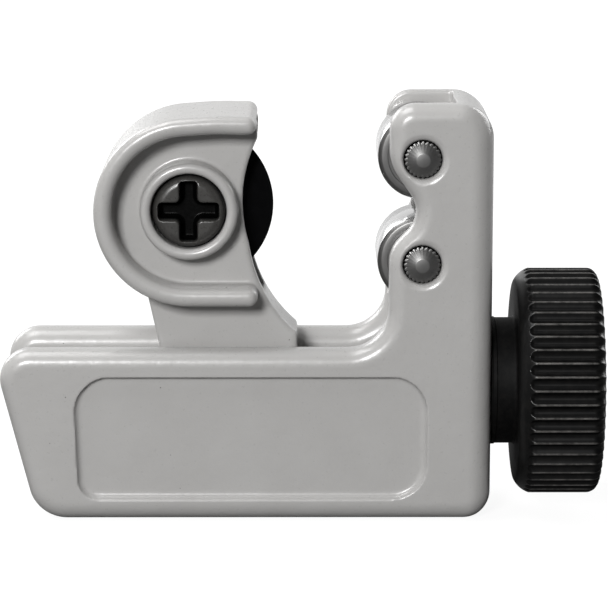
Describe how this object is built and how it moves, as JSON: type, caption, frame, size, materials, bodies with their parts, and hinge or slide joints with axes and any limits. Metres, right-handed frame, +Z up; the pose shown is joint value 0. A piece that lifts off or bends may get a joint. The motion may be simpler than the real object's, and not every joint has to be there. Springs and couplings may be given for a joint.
{
  "type": "mini tube cutter",
  "caption": "Hand-held screw-feed tube cutter: a cast frame with paired rollers, a sliding cutting-wheel carrier and a fluted knob that drives it along a captive screw.",
  "frame": {"origin": "under the middle of the overall box, on the surface the tool stands on", "axes": "+X along the feed screw towards the knob, +Y across the tool away from the wheel screw's head, +Z up"},
  "size_m": [0.0662, 0.0252, 0.0463],
  "materials": {
    "painted_casting": "warm grey glossy powder coat over a zinc casting",
    "black_tool_steel": "black oxide, ground edge",
    "black_oxide_steel": "black oxide",
    "roller_steel": "turned steel",
    "pin_steel": "dark knurled steel",
    "screw_steel": "zinc-plated steel",
    "spring_steel": "dark spring steel",
    "black_plastic": "moulded black plastic with fine flutes"
  },
  "bodies": {
    "frame": {"frame": "painted_casting", "upper_roller_pin": "pin_steel", "lower_roller_pin": "pin_steel"},
    "knob": {"knob": "black_plastic", "feed_screw": "screw_steel", "retaining_ring": "spring_steel", "thrust_washer": "screw_steel"},
    "slide": {"slide": "painted_casting", "wheel_screw": "black_oxide_steel"},
    "cutter_wheel": {"cutter_wheel": "black_tool_steel"},
    "upper_roller": {"upper_roller": "roller_steel"},
    "lower_roller": {"lower_roller": "roller_steel"}
  },
  "joints": [
    {"name": "knob_turn", "type": "hinge", "parent": "frame", "child": "knob", "pos_m": [0.0209, 0, 0.01425], "axis": [-1, 0, 0], "range_deg": [-4755, 3531]},
    {"name": "slide_travel", "type": "slide", "parent": "frame", "child": "slide", "axis": [1, 0, 0], "range_m": [-0.0165, 0.01225]},
    {"name": "cutter_wheel_spin", "type": "hinge", "parent": "slide", "child": "cutter_wheel", "pos_m": [-0.01225, 0, 0.03435], "axis": [0, 1, 0], "continuous": true},
    {"name": "upper_roller_spin", "type": "hinge", "parent": "frame", "child": "upper_roller", "pos_m": [0.0132, 0, 0.0403], "axis": [0, 1, 0], "continuous": true},
    {"name": "lower_roller_spin", "type": "hinge", "parent": "frame", "child": "lower_roller", "pos_m": [0.0132, 0, 0.02875], "axis": [0, 1, 0], "continuous": true}
  ],
  "couplings": [
    {"joint": "knob_turn", "follows": "slide_travel", "rad_per_m": 5026.5}
  ]
}
